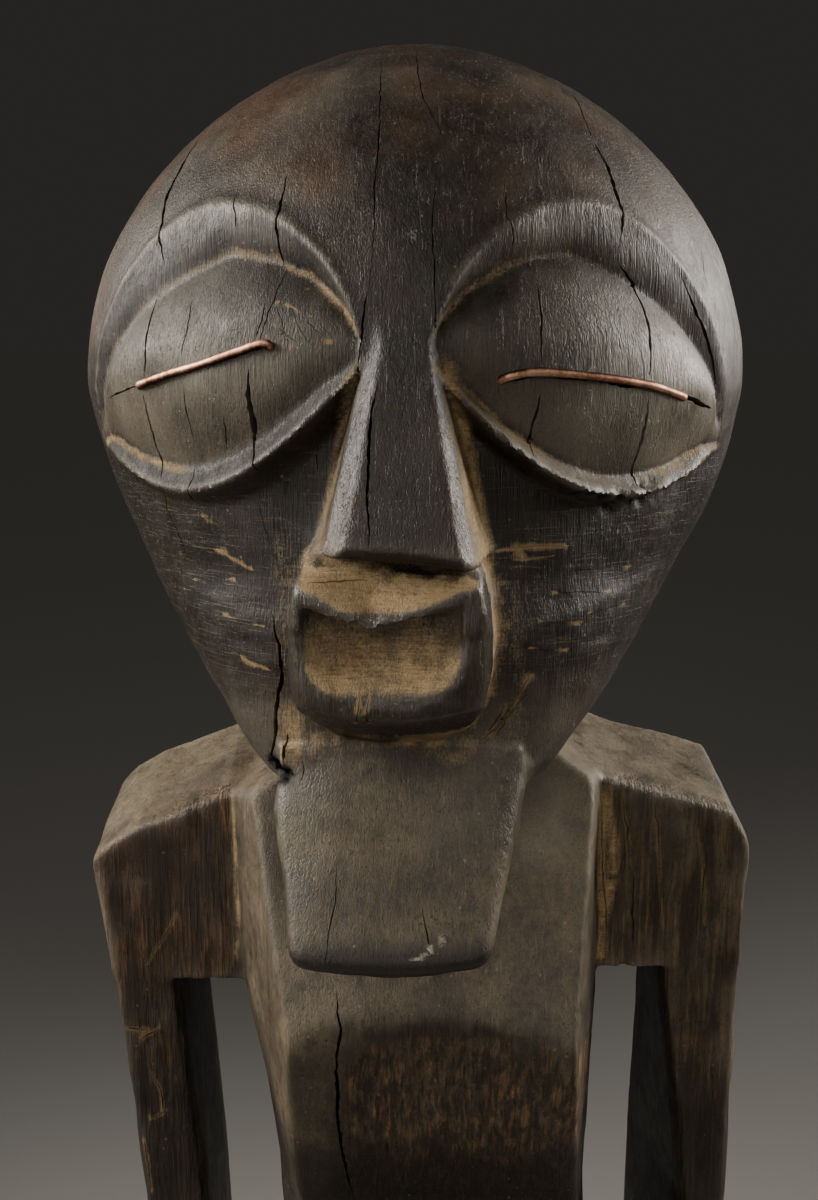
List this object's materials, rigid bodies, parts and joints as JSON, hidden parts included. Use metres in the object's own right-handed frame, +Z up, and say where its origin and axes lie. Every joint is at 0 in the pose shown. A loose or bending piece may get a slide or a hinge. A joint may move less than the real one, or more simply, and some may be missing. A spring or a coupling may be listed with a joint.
{
  "type": "standing power figure",
  "caption": "Standing carved wooden power figure with a domed head, almond eyes set with copper wire, open mouth, shovel beard, square shoulders and a low round base.",
  "frame": {"origin": "middle of the round base's underside", "axes": "+Z up through the crown of the head; the figure faces -Y and its left hand is on the +X side"},
  "size_m": [0.18, 0.18, 0.66],
  "materials": {
    "carved_wood": "handled dark hardwood, satin, worn and dusty",
    "copper_wire": "handled copper, soft shine"
  },
  "bodies": {
    "root": {"carved_figure": "carved_wood", "eye_wire_left": "copper_wire", "eye_wire_right": "copper_wire"}
  },
  "joints": []
}
